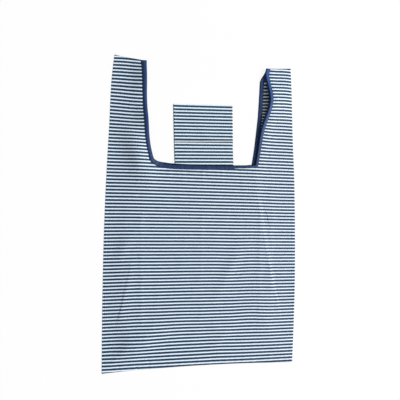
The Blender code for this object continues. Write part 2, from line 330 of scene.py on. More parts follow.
def seam_pucker(points, seed):
    """Small waves that run off the sewn edge, where the thread draws the cloth up."""
    away, along = nearest_on(points, OUTER)
    high = PUCKER_DEPTH * smooth(away / SEAM_FLAT) * np.exp(-away / PUCKER_REACH)
    return high * wandering(along, PUCKER_PITCH, seed)


def sewn_edge(points, height, side):
    """Rolls the last SEAM_ROLL of the cloth over to the seam, on a quarter of an ellipse."""
    away, _ = nearest_on(points, OUTER)
    t = np.clip(away / SEAM_ROLL, 0.0, 1.0)
    seam = SEAM_HEIGHT + side * CLOTH * SEAM_APART
    return seam + (height - seam) * np.sqrt(1 - (1 - t) ** 2)


def back_height(points):
    """Height of the middle of the back panel's cloth."""
    away, _ = nearest_on(points, GAP_BACK)
    bound = 1 - smooth((away - BOUND_REACH) / BOUND_BLEND)
    lifted = smooth((points[..., 1] - TOP_Y) / BACK_LIFT_LENGTH + 1)
    return BACK_FLAT + (BACK_BOUND - BACK_FLAT) * bound + arch(points, False) * lifted


def new_piece(name, points, faces, material):
    """An object of its own at the origin, with these points and faces for its mesh."""
    mesh = bpy.data.meshes.new(name)
    mesh.from_pydata(points.reshape(-1, 3), [], faces)
    mesh.shade_smooth()
    mesh.materials.append(material)
    piece = bpy.data.objects.new(name, mesh)
    bpy.context.scene.collection.objects.link(piece)
    return piece


def surface_mesh(name, places, uv, material, closed_rows=False):
    """A grid of faces over places[row, column], with the cloth's coordinates in its UV map."""
    rows, columns = places.shape[:2]
    number = np.arange(rows * columns).reshape(rows, columns)
    low, high = (number, np.roll(number, -1, axis=0)) if closed_rows else (number[:-1], number[1:])
    corners = np.stack([low[:, :-1], low[:, 1:], high[:, 1:], high[:, :-1]], -1).reshape(-1, 4)
    piece = new_piece(name, places, corners.tolist(), material)
    if uv is not None:
        layer = piece.data.uv_layers.new(name="cloth")
        layer.data.foreach_set("uv", uv.reshape(-1, 2)[corners.ravel()].astype(np.float32).ravel())
    return piece


def thicken(piece, thickness):
    """Gives an open sheet its thickness, half on each side of its middle."""
    solidify = piece.modifiers.new("Thickness", "SOLIDIFY")
    solidify.thickness = thickness
    solidify.offset = 0.0
    solidify.use_even_offset = False


def panel_plan(outline):
    """The cloth spanned between the U and the outer edge, its rungs bunched at both ends."""
    inner = outline + away_from_gap(outline) * RAW_EDGE_INSIDE
    inner[[0, -1], 1] = outline[[0, -1], 1]
    s = np.linspace(0, 1, RUNGS)
    t = s - RUNG_BUNCHING * np.sin(2 * math.pi * s) / (2 * math.pi)
    return inner[:, None, :] + (OUTER - inner)[:, None, :] * t[None, :, None]


# The print and the weave. The stripes' edge, its raggedness and the dark share
# are parts of one period, which is a dark and a white stripe.
STRIPE_PERIOD = 0.0060
STRIPE_PHASE = -0.00032
NAVY_SHARE = 0.610
STRIPE_EDGE = 0.020
STRIPE_RAGGED = 0.06
RAGGED_SCALE = 900.0
NAVY = (0.0060, 0.0280, 0.0800, 1.0)
WHITE = (0.762, 0.898, 1.000, 1.0)
YARN = 0.00042
YARN_DEPTH = 0.00006
# Painted shade of the weave: lighter on the raised yarns, darker between them
YARN_SHADE_TONE = 0.030
UNEVEN_SCALE = 60.0
UNEVEN_TONE = 0.06
PLAIN_TONE = 0.97
CLOTH_ROUGHNESS = 0.56
UNEVEN_ROUGHNESS = 0.12
CRUMPLE_SCALE = 190.0
CRUMPLE_DEPTH = 0.0004
ARCH_EASE = 0.20

# Where the cloth lies drawn up or down a little: centre x and y, spread in x and
# y, and how far
DRAWN_ALL = -0.00089
DRAWN = (
    (-0.030, -0.210, 0.080, 0.040, 0.00249),
    (0.000, -0.120, 0.080, 0.040, 0.00091),
    (-0.150, 0.270, 0.020, 0.040, 0.00213),
    (-0.120, 0.180, 0.020, 0.040, -0.00121),
    (0.090, -0.180, 0.020, 0.020, 0.00139),
    (-0.180, -0.090, 0.020, 0.080, -0.00089),
    (-0.060, -0.270, 0.200, 0.020, -0.00095),
    (-0.120, -0.180, 0.020, 0.080, 0.00066),
    (0.090, 0.210, 0.020, 0.020, -0.00205),
    (0.150, 0.270, 0.020, 0.080, 0.00190),
    (0.090, 0.150, 0.020, 0.020, 0.00195),
    (0.000, -0.030, 0.080, 0.020, 0.00041),
    (0.030, -0.240, 0.020, 0.020, 0.00068),
    (0.090, -0.090, 0.020, 0.040, 0.00069),
    (-0.180, 0.210, 0.020, 0.040, 0.00108),
    (0.060, -0.090, 0.020, 0.040, -0.00062),
    (-0.150, -0.240, 0.020, 0.020, 0.00049),
    (0.150, 0.030, 0.020, 0.020, -0.00051),
    (0.000, -0.180, 0.020, 0.020, -0.00050),
    (-0.030, -0.060, 0.080, 0.020, 0.00023),
    (0.120, 0.270, 0.020, 0.080, -0.00098),
    (0.150, -0.150, 0.020, 0.040, -0.00029),
)


def stripe_drift(points):
    """How far the printed stripes wander from straight lines: a sum of bell curves."""
    x, y = points[..., 0], points[..., 1]
    at_x, at_y, spread_x, spread_y, far = (np.array(column) for column in zip(*DRAWN))
    away = ((x[..., None] - at_x) / spread_x) ** 2 + ((y[..., None] - at_y) / spread_y) ** 2
    return DRAWN_ALL + (far * np.exp(-0.5 * away)).sum(-1)


def cloth_uv(plan, front):
    """Each point's place on the cloth: X, and Y with a dark stripe centred on 0.

    Where a strap stands in an arch, the slack has drawn the print towards its top.
    """
    v = plan[..., 1] - STRIPE_PHASE - stripe_drift(plan) + ARCH_EASE * arch(plan, front)
    return np.stack([plan[..., 0], v], -1)


def fill(tree, node, sockets):
    """Gives a node's inputs their values, or links them to the outputs that feed them."""
    for name, value in sockets.items():
        if isinstance(value, bpy.types.NodeSocket):
            tree.links.new(value, node.inputs[name])
        else:
            node.inputs[name].default_value = value


def add_node(tree, kind, sockets, **settings):
    """A new shader node, with its own settings and its inputs filled."""
    node = tree.nodes.new(kind)
    for name, value in settings.items():
        setattr(node, name, value)
    fill(tree, node, sockets)
    return node


def new_material(name, colour, sockets):
    """A material with its Principled shader's inputs filled."""
    material = bpy.data.materials.new(name)
    material.use_nodes = True
    material.diffuse_color = colour
    shader = material.node_tree.nodes["Principled BSDF"]
    fill(material.node_tree, shader, sockets)
    return material, material.node_tree, shader


def cloth_coordinates(tree):
    """The piece's own UV map: both of its coordinates together, then U and V alone."""
    uv = add_node(tree, "ShaderNodeUVMap", {}, uv_map="cloth").outputs[0]
    split = add_node(tree, "ShaderNodeSeparateXYZ", {"Vector": uv})
    return uv, split.outputs["X"], split.outputs["Y"]


def calculated(tree, operation, *values):
    """The result of one calculation on values or outputs."""
    return add_node(tree, "ShaderNodeMath", dict(enumerate(values)), operation=operation).outputs[0]


def noise(tree, source, scale, detail):
    """Soft noise over these coordinates, 0 to 1."""
    sockets = {"Scale": scale, "Detail": detail, "Vector": source}
    return add_node(tree, "ShaderNodeTexNoise", sockets).outputs["Fac"]


def mixed(tree, share, first, second, blend_type="MIX"):
    """Two colours mixed, or one multiplied by the other."""
    sockets = {"Factor": share, "A": first, "B": second}
    settings = {"data_type": "RGBA", "blend_type": blend_type}
    return add_node(tree, "ShaderNodeMix", sockets, **settings).outputs["Result"]


def bumped(tree, height, depth, strength, normal=None):
    """A normal that a height has tilted, over another normal if there is one."""
    sockets = {"Height": height, "Strength": strength, "Distance": depth}
    if normal is not None:
        sockets["Normal"] = normal
    return add_node(tree, "ShaderNodeBump", sockets).outputs[0]


def striped_cloth(name, navy, white):
    """Plain weave printed with stripes: a dark band round each STRIPE_PERIOD of the cloth's V."""
    sheen = {
        "Metallic": 0.0,
        "Specular IOR Level": 0.35,
        "Sheen Weight": 0.12,
        "Sheen Roughness": 0.45,
    }
    material, tree, shader = new_material(name, white, sheen)
    uv, u, v = cloth_coordinates(tree)

    # How far each place is from the middle of the nearest dark stripe, in periods
    ragged = calculated(tree, "SUBTRACT", noise(tree, uv, RAGGED_SCALE, detail=2.0), 0.5)
    ragged = calculated(tree, "MULTIPLY", ragged, STRIPE_RAGGED)
    turns = calculated(tree, "ADD", calculated(tree, "DIVIDE", v, STRIPE_PERIOD), ragged)
    part = calculated(tree, "FRACT", calculated(tree, "ADD", turns, 0.5))
    off_centre = calculated(tree, "ABSOLUTE", calculated(tree, "SUBTRACT", part, 0.5))
    edge = {"From Min": NAVY_SHARE / 2 - STRIPE_EDGE, "From Max": NAVY_SHARE / 2 + STRIPE_EDGE}
    edge["Value"] = off_centre
    light = add_node(tree, "ShaderNodeMapRange", edge, interpolation_type="SMOOTHSTEP").outputs[0]
    colour = mixed(tree, light, navy, white)

    warp = calculated(tree, "SINE", calculated(tree, "MULTIPLY", u, 2 * math.pi / YARN))
    weft = calculated(tree, "SINE", calculated(tree, "MULTIPLY", v, 2 * math.pi / YARN))
    weave = calculated(tree, "MULTIPLY", warp, weft)
    uneven = noise(tree, uv, UNEVEN_SCALE, detail=4.0)
    shade = calculated(tree, "MULTIPLY", uneven, UNEVEN_TONE)
    # Random uneven tone, plus the weave's painted shade where its bump is low
    shade = calculated(tree, "ADD", calculated(tree, "MULTIPLY", weave, YARN_SHADE_TONE), shade)
    tone = calculated(tree, "ADD", shade, PLAIN_TONE)
    grey = add_node(tree, "ShaderNodeCombineColor", {"Red": tone, "Green": tone, "Blue": tone})
    rough = calculated(tree, "MULTIPLY", uneven, UNEVEN_ROUGHNESS)

    woven = bumped(tree, weave, YARN_DEPTH, strength=0.35)
    crumpled = noise(tree, uv, CRUMPLE_SCALE, detail=3.0)
    finish = {
        "Base Color": mixed(tree, 1.0, colour, grey.outputs[0], "MULTIPLY"),
        "Roughness": calculated(tree, "ADD", rough, CLOTH_ROUGHNESS),
        "Normal": bumped(tree, crumpled, CRUMPLE_DEPTH, strength=0.3, normal=woven),
    }
    fill(tree, shader, finish)
    return material


GAP_BACK = gap_outline(False)
OUTER = outer_outline()

striped_polyester = striped_cloth("striped_polyester", NAVY, WHITE)
plan = panel_plan(GAP_BACK)
z = sewn_edge(plan, back_height(plan) + np.maximum(seam_pucker(plan, seed=4.0), 0), -1)
back_uv = cloth_uv(plan, False)
back_cloth = surface_mesh("back_cloth", np.dstack([plan, z]), back_uv, striped_polyester)
thicken(back_cloth, CLOTH)
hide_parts("back_panel")
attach(back_cloth, "root")


# Front panel: the second sheet of the same cloth. It lies loosely over the back,
# lifted a few millimetres by the pouch and the air between, with the soft folds
# and the small puckers that sewing and folding leave.
LAYER = CAD_CLOTH + CLEARANCE
FRONT_SEAM = BACK_FLAT + LAYER
FRONT_BOUND = BACK_BOUND + 2 * TAPE_OUTSIDE + CLEARANCE
FRONT_MOUTH = FRONT_BOUND + LAYER + LAYER

# How far in from its seams the cloth has risen to its full height, and how much
# further it takes on the right
LOFT_REACH = 0.058
RIGHT_SLACK = 0.060
RIGHT_SLACK_FROM_MIDDLE = 0.12

# Small waves off the tape's sewn edge
TAPE_PUCKER_FROM = 0.0075
TAPE_PUCKER_RISE = 0.004
TAPE_PUCKER_DEPTH = 0.00045
TAPE_PUCKER_PITCH = 0.012
TAPE_PUCKER_REACH = 0.014

# Soft folds: centre x, distance below the handle tops, half-length, half-width,
# angle in degrees from +X, height
FOLDS = (
    (-0.1000, 0.040, 0.026, 0.0320, -84.0, 0.0100),
    (-0.1040, 0.108, 0.022, 0.0180, -68.0, 0.0085),
    (-0.1250, 0.172, 0.050, 0.0220, -64.0, 0.0085),
    (-0.1460, 0.342, 0.024, 0.0100, 60.0, 0.0032),
    (-0.1220, 0.518, 0.056, 0.0240, 38.0, 0.0066),
    (0.0340, 0.503, 0.024, 0.0070, 41.0, 0.0022),
    (0.0480, 0.381, 0.052, 0.0110, 64.0, 0.0018),
    (0.1290, 0.327, 0.110, 0.0060, 90.0, 0.0011),
    (0.1280, 0.143, 0.036, 0.0045, 88.0, 0.0009),
    (0.0100, 0.330, 0.130, 0.0600, 90.0, 0.0006),
)

# Sharp creases left by folding the bag away: both ends' x and y, height
CREASES = (
    (-0.1140, 0.000, -0.1100, -0.190, 0.0007),
    (0.1060, 0.020, 0.1080, -0.195, 0.0007),
    (-0.1120, 0.000, 0.1060, 0.004, 0.0004),
    (-0.1100, -0.192, 0.1080, -0.196, 0.0005),
    (-0.0050, 0.000, -0.0030, -0.190, 0.0004),
)
CREASE_REACH = 0.0042

# Faint unevenness: two waves that cross, each with its run along x and y, pitch
# and seed, and the height of their product
RUMPLES = (
    ((0.94, 0.34, 0.036, 0.4), (-0.43, 0.90, 0.055, 1.9), 0.00050),
    ((0.50, -0.87, 0.022, 2.7), (0.80, 0.60, 0.047, 0.8), 0.00022),
)


def fold_height(points):
    """Sum of long low humps: each falls off as a bell curve along and across its own line."""
    height = np.zeros(points.shape[:-1])
    for x, below_top, half_long, half_wide, angle, high in FOLDS:
        turn = math.radians(angle)
        dx = points[..., 0] - x
        dy = points[..., 1] - (TOP_Y - below_top)
        along = (dx * math.cos(turn) + dy * math.sin(turn)) / half_long
        across = (dy * math.cos(turn) - dx * math.sin(turn)) / half_wide
        height += high * np.exp(-(along**2) - across**2)
    return height


def crease_height(points):
    """Sum of narrow ridges that fall off exponentially beside a line and past its ends."""
    height = np.zeros(points.shape[:-1])
    for x0, y0, x1, y1, high in CREASES:
        start, step = np.array([x0, y0]), np.array([x1 - x0, y1 - y0])
        t = np.clip(((points - start) * step).sum(-1) / (step**2).sum(), 0.0, 1.0)
        away = np.linalg.norm(points - start - t[..., None] * step, axis=-1)
        height += high * np.exp(-away / CREASE_REACH)
    return height


def rumple_height(points):
    """Faint all-over unevenness: products of wandering waves that cross at a slant."""
    height = np.zeros(points.shape[:-1])
    for first, second, high in RUMPLES:
        waves = 1.0
        for run_x, run_y, pitch, seed in (first, second):
            slanted = run_x * points[..., 0] + run_y * points[..., 1]
            waves = waves * wandering(slanted, pitch, seed)
        height += high * waves
    return height


def tape_pucker(points, outline):
    """Small waves off the bound edge, where the tape gathers the cloth."""
    away, along = nearest_on(points, outline)
    past = away - TAPE_PUCKER_FROM
    high = TAPE_PUCKER_DEPTH * np.exp(-np.maximum(past, 0) / TAPE_PUCKER_REACH)
    return high * smooth(past / TAPE_PUCKER_RISE) * wandering(along, TAPE_PUCKER_PITCH, seed=1.7)


def front_height(points):
    """Height of the middle of the front panel's cloth."""
    from_gap, _ = nearest_on(points, GAP_FRONT)
    from_seam, _ = nearest_on(points, OUTER)
    bound = 1 - smooth((from_gap - BOUND_REACH) / BOUND_BLEND)
    slack = RIGHT_SLACK * smooth(points[..., 0] / RIGHT_SLACK_FROM_MIDDLE)
    loft = smooth(from_seam / (LOFT_REACH + slack))
    seam = FRONT_SEAM + (FRONT_BOUND - FRONT_SEAM) * bound
    full = FRONT_MOUTH - seam
    lie = fold_height(points) + crease_height(points) + rumple_height(points)
    return seam + (full + lie) * loft + arch(points, True)


GAP_FRONT = gap_outline(True)

plan = panel_plan(GAP_FRONT)
z = front_height(plan) + seam_pucker(plan, seed=0.6) + tape_pucker(plan, GAP_FRONT)
z = sewn_edge(plan, z, 1)
front_uv = cloth_uv(plan, True)
front_cloth = surface_mesh("front_cloth", np.dstack([plan, z]), front_uv, striped_polyester)
thicken(front_cloth, CLOTH)
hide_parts("front_panel")
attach(front_cloth, "root")


# Pouch: one strip of the same cloth, hemmed and folded into a pocket with a flap
# over it. The bag packs into it. It lies up out of the mouth, and its low end is
# caught in the mouth between the two panels.
POUCH_WIDTH = 0.1095
POUCH_HEIGHT = 0.1095
POUCH_TAB = 0.0075
POUCH_X = -0.0010
POUCH_TURN = math.radians(2.0)
POUCH_TAPER = 0.010
BACK_WIDER = 0.0014
FLAP_LENGTH = 0.0680
POCKET_UNDERLAP = 0.018
POUCH_DROP_LENGTH = 0.030
POUCH_IN_MOUTH = BACK_BOUND + TAPE_OUTSIDE + CLEARANCE + CAD_CLOTH / 2
POUCH_COLUMNS = 90

# The strip's parts in their order, and how many rows of the grid each has
POCKET, BOTTOM, BACK, TOP, FLAP = range(5)
POCKET_ROWS = 46
TURN_ROWS = 11
BACK_ROWS = 70
FLAP_ROWS = 52

# How the hem curls and the cloth billows, each uneven by its own share
HEM_SLANT = 0.0007
HEM_CURL = 0.0007
HEM_REACH = 0.007
HEM_UNEVEN = 0.40
HEM_PITCH = 0.045
EDGE_CURL = 0.0005
EDGE_CURL_POWER = 12
BILLOW = 0.0009
BILLOW_OF_POCKET = 0.4
BILLOW_POWER = 4
BILLOW_UNEVEN = 0.45
BILLOW_PITCH = 0.055
BILLOW_SLANT = 0.7

# Its print: where a dark stripe is centred, the pocket's own pitch, and how far
# across the cloth the strip was cut
FLAP_DARK_AT = 0.0457
POCKET_DARK_AT = 0.00528
POCKET_PITCH = 0.0061
CUT_FROM = 0.5
POUCH_NAVY = (0.0075, 0.0330, 0.0800, 1.0)
POUCH_WHITE = (0.740, 0.902, 1.000, 1.0)


def straight(start, end, count, off):
    """A straight run of the pouch's section, at one distance off its back."""
    return np.column_stack([np.linspace(start, end, count), np.full(count, off)])


def pouch_section():
    """The strip seen from its side, as up and off the back, and the part each row is in.

    It runs from the pocket's top down, round, up the back and over the flap: straight
    runs that half-circles join.
    """
    low, high = -POUCH_TAB, POUCH_HEIGHT
    hem = high - FLAP_LENGTH
    turn_low, turn_high = LAYER / 2, LAYER
    turn = np.linspace(0, math.pi, TURN_ROWS + 2)[1:-1]
    pocket = straight(hem + POCKET_UNDERLAP, low + turn_low, POCKET_ROWS, LAYER)
    bottom = np.column_stack([-np.sin(turn), 1 + np.cos(turn)]) * turn_low + [low + turn_low, 0]
    back = straight(low + turn_low, high - turn_high, BACK_ROWS, 0.0)
    top = np.column_stack([np.sin(turn), 1 - np.cos(turn)]) * turn_high + [high - turn_high, 0]
    flap = straight(high - turn_high, hem, FLAP_ROWS, 2 * turn_high)
    rows = (POCKET_ROWS, TURN_ROWS, BACK_ROWS, TURN_ROWS, FLAP_ROWS)
    parts = np.repeat([POCKET, BOTTOM, BACK, TOP, FLAP], rows)
    return np.vstack([pocket, bottom, back, top, flap]), parts


def pouch_places(up, across, off):
    """The pouch's own up, across and off-the-back turned into the bag's X, Y and Z."""
    across = across * (1 + POUCH_TAPER * (up / POUCH_HEIGHT - 1))
    x = across * math.cos(POUCH_TURN) - up * math.sin(POUCH_TURN) + POUCH_X
    y = across * math.sin(POUCH_TURN) + up * math.cos(POUCH_TURN) + MOUTH_Y
    drop = smooth(up / POUCH_DROP_LENGTH)
    z = POUCH_IN_MOUTH + (BACK_FLAT - POUCH_IN_MOUTH) * drop + off
    return np.stack([x, y, z], -1)


def uneven_by(share, s, pitch, seed):
    """A factor of 1 at most, which a wandering wave lowers by up to twice the share."""
    return 1 - share + share * wandering(s, pitch, seed)


section, part = pouch_section()
side = np.linspace(-1, 1, POUCH_COLUMNS)[None, :]
up, off, part = section[:, :1] + 0 * side, section[:, 1:] + 0 * side, part[:, None]
flap, pocket = part == FLAP, part == POCKET
down_flap = flap * smooth((POUCH_HEIGHT - up) / FLAP_LENGTH)
near_hem = flap * smooth((POUCH_HEIGHT - FLAP_LENGTH + HEM_REACH - up) / HEM_REACH)
middle = np.sin(math.pi * np.clip(up / POUCH_HEIGHT, 0, 1)) * (1 - side**BILLOW_POWER)
slanted = BILLOW_SLANT * side * POUCH_WIDTH + up
billow = BILLOW * middle * uneven_by(BILLOW_UNEVEN, slanted, BILLOW_PITCH, seed=0.9)
curl = HEM_CURL * near_hem * uneven_by(HEM_UNEVEN, side * POUCH_WIDTH, HEM_PITCH, seed=2.0)
curl = curl + EDGE_CURL * flap * np.abs(side) ** EDGE_CURL_POWER
off = off + curl + (flap + pocket * BILLOW_OF_POCKET) * billow
up = up + HEM_SLANT * side * down_flap
across = side * (POUCH_WIDTH + BACK_WIDER * (part == BACK)) / 2
places = pouch_places(up, across, off)
print_v = np.where(pocket, (up - POCKET_DARK_AT) * STRIPE_PERIOD / POCKET_PITCH, up - FLAP_DARK_AT)
pouch_uv = np.stack([across + CUT_FROM, print_v], -1)
pouch_polyester = striped_cloth("striped_polyester_pouch", POUCH_NAVY, POUCH_WHITE)
pouch_cloth = surface_mesh("pouch_cloth", places, pouch_uv, pouch_polyester)
thicken(pouch_cloth, CLOTH)
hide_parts("pouch")
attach(pouch_cloth, "root")


# Mouth binding: one navy satin bias tape, folded over the raw edge of the mouth
# and of both handles, and sewn down where it lies on the cloth. It turns over the
# top of each handle from the front panel to the back.
TAPE_WIDTH = 0.0080
TAPE = 0.00030
TAPE_LOFT = 0.00092
TAPE_SEWN = 0.00042
TAPE_SHOULDER = 0.45
TAPE_TURN = 0.35
FOLD_STATIONS = 9
TURN_STATIONS = 9
ROLL_HANG = 2.2
SLOPE_STEP = 1e-4

# How the sewing gathers it: pitch and depth of the waves, and where along the
# thread the back's waves start
GATHER_PITCH = 0.0075
GATHER_DEPTH = 0.16
BACK_GATHER_START = 0.7

# Stations across one side, from the sewn edge to the fold, as shares of its width
TAPE_ACROSS = np.array([1.0, 0.93, 0.84, 0.70, 0.52, 0.34, 0.16, 0.0])

# Distance along the U from the left handle's top, the width of the tape there as
# a share of TAPE_WIDTH, how many times fuller its fold is, and how far it stands
# out past the cloth's edge
TAPE_ALONG = (
    (0.000, 1.35, 1.0, 0.0000),
    (0.018, 1.08, 1.0, 0.0000),
    (0.070, 0.94, 1.0, 0.0000),
    (0.165, 0.94, 1.0, 0.0000),
    (0.186, 1.10, 1.0, 0.0000),
    (0.200, 1.29, 1.2, 0.0012),
    (0.240, 1.25, 1.1, 0.0006),
    (0.310, 1.20, 1.0, 0.0002),
    (0.322, 1.07, 1.0, 0.0000),
    (0.334, 0.70, 1.0, 0.0000),
    (0.345, 0.64, 1.0, 0.0000),
    (0.375, 0.68, 1.0, 0.0000),
    (0.400, 0.71, 1.0, 0.0000),
    (0.430, 0.78, 1.2, 0.0000),
    (0.480, 0.78, 2.4, 0.0000),
    (0.530, 0.80, 2.2, 0.0000),
    (0.565, 0.95, 1.0, 0.0000),
)
BACK_TAPE_ALONG = ((0.0, 1.0, 1.0, 0.0), (0.565, 1.0, 1.0, 0.0))


def tape_profile():
    """The folded tape's section, as how far into the cloth and how far off its middle.

    Each side is a low cushion: flat where it is sewn down, full in the middle, and
    closed round the cloth's raw edge by half a circle.
    """
    into = (TAPE_WIDTH - TAPE_OUTSIDE) * TAPE_ACROSS
    rising = np.clip((1 - TAPE_ACROSS) / TAPE_SHOULDER, 0, 1)
    off = TAPE_SEWN + (TAPE_LOFT - TAPE_SEWN) * np.sin(math.pi / 2 * rising)
    turn = np.linspace(0, math.pi, FOLD_STATIONS + 2)[1:-1]
    fold = np.column_stack([-np.sin(turn), np.cos(turn)]) * TAPE_LOFT
    front, back = np.column_stack([into, off]), np.column_stack([into, -off])[::-1]
    return np.vstack([front, fold, back])


def outline_length(outline):
    """Distance along a line of joined points."""
    return np.concatenate([[0.0], np.cumsum(np.linalg.norm(np.diff(outline, axis=0), axis=1))])


def surface(plan, height):
    """A panel's middle and its upward unit normals, from the slopes along X and Y."""
    z = height(plan)
    slope_x = (height(plan + [SLOPE_STEP, 0]) - z) / SLOPE_STEP
    slope_y = (height(plan + [0, SLOPE_STEP]) - z) / SLOPE_STEP
    normal = np.dstack([-slope_x, -slope_y, np.ones_like(z)])
    return np.dstack([plan, z]), normal / np.linalg.norm(normal, axis=-1)[..., None]


def tape_side(outline, height, up, along):
    """The tape along one panel's U: its places on the cloth, and their offsets off it.

    A fuller fold reaches further out, and hangs ROLL_HANG times as far as it has grown.
    """
    into = away_from_gap(outline)
    into[0], into[-1] = (-1, 0), (1, 0)
    depth, off = tape_profile().T
    run = outline_length(outline)
    stations, *given = np.array(along).T
    stations = stations * run[-1] / stations[-1]
    wide, full, out = (np.interp(run, stations, values)[:, None] for values in given)
    edge = outline + into * (TAPE_OUTSIDE - out)
    on_cloth = np.maximum(depth, 0.0) * wide
    base, normal = surface(edge[:, None] + into[:, None] * on_cloth[..., None], height)
    beyond = np.minimum(depth, 0.0) * full
    base[..., :2] += into[:, None] * beyond[..., None]
    base[..., 2] += ROLL_HANG * np.minimum(depth, 0.0) * (full - 1)
    return base, normal * (off * up)[:, None]


def tape_turn(front_base, back_base, off):
    """The tape over a handle's top: flattened half-circles from the front to the back."""
    middle = (front_base + back_base) / 2
    radius = np.linalg.norm(front_base - back_base, axis=1)[:, None] / 2 + off[:, None]
    angles = np.linspace(0, math.pi, TURN_STATIONS + 2)[1:-1]
    away = np.array([0.0, TAPE_TURN, 0.0])
    up = np.array([0.0, 0.0, 1.0])
    return [middle + radius * (math.cos(a) * up + math.sin(a) * away) for a in angles]


def tape_gather(along, profile):
    """How much fuller the tape is than its section: an uneven wave, none where it is sewn."""
    free = np.clip(1 - profile[:, 0] / (TAPE_WIDTH - TAPE_OUTSIDE), 0, 1)
    wave = wandering(along, GATHER_PITCH, seed=2.2)[:, None]
    return 1 + GATHER_DEPTH * wave * np.sin(math.pi * free)[None, :]


# The satin: its colour, how unevenly it is rubbed, its rib and its cross puckers
TAPE_NAVY = (0.0200, 0.0500, 0.1480, 1.0)
DULLEST, BRIGHTEST = 0.80, 1.20
RUBBED_SCALE = 90.0
TAPE_ROUGHNESS = (0.34, 0.50)
RIB_TURN = math.radians(38)
RIB_SCALE = 330.0
RIB_DEPTH = 0.00006
CROSS_PUCKERS = (260.0, 60.0, 1.0)
CROSS_PUCKER_DEPTH = 0.0006

# Across the tape, from its sewn edge on the front to that on the back: painted light and shade in
# the tape's colour, darker at its sewn edges and near-black round the fold where shade falls
# (painted shade), and lighter across the middle of its front face (painted highlight)
PAINTED_SHADING_ACROSS = (
    (0.00, 0.40),
    (0.10, 0.50),
    (0.20, 1.00),
    (0.29, 1.60),
    (0.39, 1.60),
    (0.45, 0.80),
    (0.50, 0.08),
    (0.62, 0.08),
    (0.75, 0.70),
    (1.00, 0.85),
)

# Distance round the loop, and how far across the tape the painted shade and highlight are moved
# there
PAINTED_SHADING_SHIFT = (
    (0.000, -0.0016),
    (0.165, -0.0014),
    (0.200, 0.0021),
    (0.330, 0.0021),
    (0.380, 0.0012),
)

# Distance round the loop, and how light the tape's colour is there: painted sheen, lighter where
# its face turns to the lamp and darker along the mouth
PAINTED_SHEEN_ALONG = (
    (0.000, 1.30),
    (0.165, 1.20),
    (0.200, 0.76),
    (0.330, 0.74),
    (0.400, 1.10),
    (0.470, 1.60),
    (0.545, 2.10),
    (0.600, 1.20),
)


def graded(tree, colour, stops, interpolation, place):
    """A colour multiplied by a ramp's grey at this place; each stop is a place and a grey."""
    ramp = add_node(tree, "ShaderNodeValToRGB", {"Fac": place})
    ramp.color_ramp.interpolation = interpolation
    elements = ramp.color_ramp.elements
    elements.remove(elements[1])
    for stop, (where, grey) in enumerate(stops):
        element = elements[0] if stop == 0 else elements.new(where)
        element.position = where
        element.color = (grey, grey, grey, 1.0)
    return mixed(tree, 1.0, colour, ramp.outputs["Color"], "MULTIPLY")


def satin_tape(name, colour, length, width):
    """Satin-woven tape: a fine slanting rib, faint cross puckers, and an uneven gloss.

    Its colour carries painted shade and highlight across its width, and painted sheen along its
    length.
    """
    sheen = {
        "Metallic": 0.0,
        "Specular IOR Level": 0.15,
        "Sheen Weight": 0.03,
        "Sheen Roughness": 0.35,
        "Sheen Tint": (0.45, 0.60, 1.0, 1.0),
    }
    material, tree, shader = new_material(name, colour, sheen)
    uv, along, across = cloth_coordinates(tree)
    along = add_node(tree, "ShaderNodeMapRange", {"Value": along, "From Max": length}).outputs[0]
    across = add_node(tree, "ShaderNodeMapRange", {"Value": across, "From Max": width}).outputs[0]

    rubbed = noise(tree, uv, RUBBED_SCALE, detail=3.0)
    dull, bright = ((*(tone * c for c in colour[:3]), 1.0) for tone in (DULLEST, BRIGHTEST))
    # Random rubbed tones, times the painted shade and highlight across the tape
    painted_across = graded(tree, mixed(tree, rubbed, dull, bright), PAINTED_SHADING_ACROSS, "B_SPLINE", across)
    painted_sheen_stops = [(where / length, grey) for where, grey in PAINTED_SHEEN_ALONG]
    low, high = TAPE_ROUGHNESS
    gloss = add_node(tree, "ShaderNodeMapRange", {"Value": rubbed, "To Min": low, "To Max": high})

    turned = add_node(tree, "ShaderNodeMapping", {"Vector": uv, "Rotation": (0.0, 0.0, RIB_TURN)})
    rib = {"Scale": RIB_SCALE, "Distortion": 0.4, "Vector": turned.outputs[0]}
    rib = add_node(tree, "ShaderNodeTexWave", rib).outputs["Fac"]
    drawn = add_node(tree, "ShaderNodeMapping", {"Vector": uv, "Scale": CROSS_PUCKERS})
    puckers = noise(tree, drawn.outputs[0], scale=1.0, detail=2.0)
    ribbed = bumped(tree, rib, RIB_DEPTH, strength=0.3)
    # The base colour carries the painted shade, highlight and sheen; they don't move with the lamp
    finish = {
        "Base Color": graded(tree, painted_across, painted_sheen_stops, "LINEAR", along),
        "Roughness": gloss.outputs[0],
        "Normal": bumped(tree, puckers, CROSS_PUCKER_DEPTH, strength=0.7, normal=ribbed),
    }
    fill(tree, shader, finish)
    return material


profile = tape_profile()
front_base, front_off = tape_side(GAP_FRONT, front_height, 1, TAPE_ALONG)
back_base, back_off = tape_side(GAP_BACK, back_height, -1, BACK_TAPE_ALONG)
front_gather = tape_gather(outline_length(GAP_FRONT), profile)
back_gather = tape_gather(outline_length(GAP_BACK) + BACK_GATHER_START, profile)
front_side = front_base + front_off * front_gather[..., None]
back_side = back_base + back_off * back_gather[..., None]
over_right = tape_turn(front_base[-1], back_base[-1], profile[:, 1])
over_left = tape_turn(front_base[0], back_base[0], profile[:, 1])[::-1]
loop = np.array([*front_side, *over_right, *back_side[::-1], *over_left])
around = outline_length(loop[:, len(profile) // 2])
# How far the painted shade and highlight move across the tape at each place round the loop
painted_shift = np.interp(around, *np.array(PAINTED_SHADING_SHIFT).T)
wide = outline_length(profile)
tape_uv = np.stack(np.broadcast_arrays(around[:, None], wide[None, :] + painted_shift[:, None]), -1)
navy_satin = satin_tape("navy_satin_tape", TAPE_NAVY, float(around[-1]), float(wide[-1]))
bias_tape = surface_mesh("bias_tape", loop, tape_uv, navy_satin, closed_rows=True)
thicken(bias_tape, TAPE)
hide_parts("mouth_binding")
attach(bias_tape, "root")


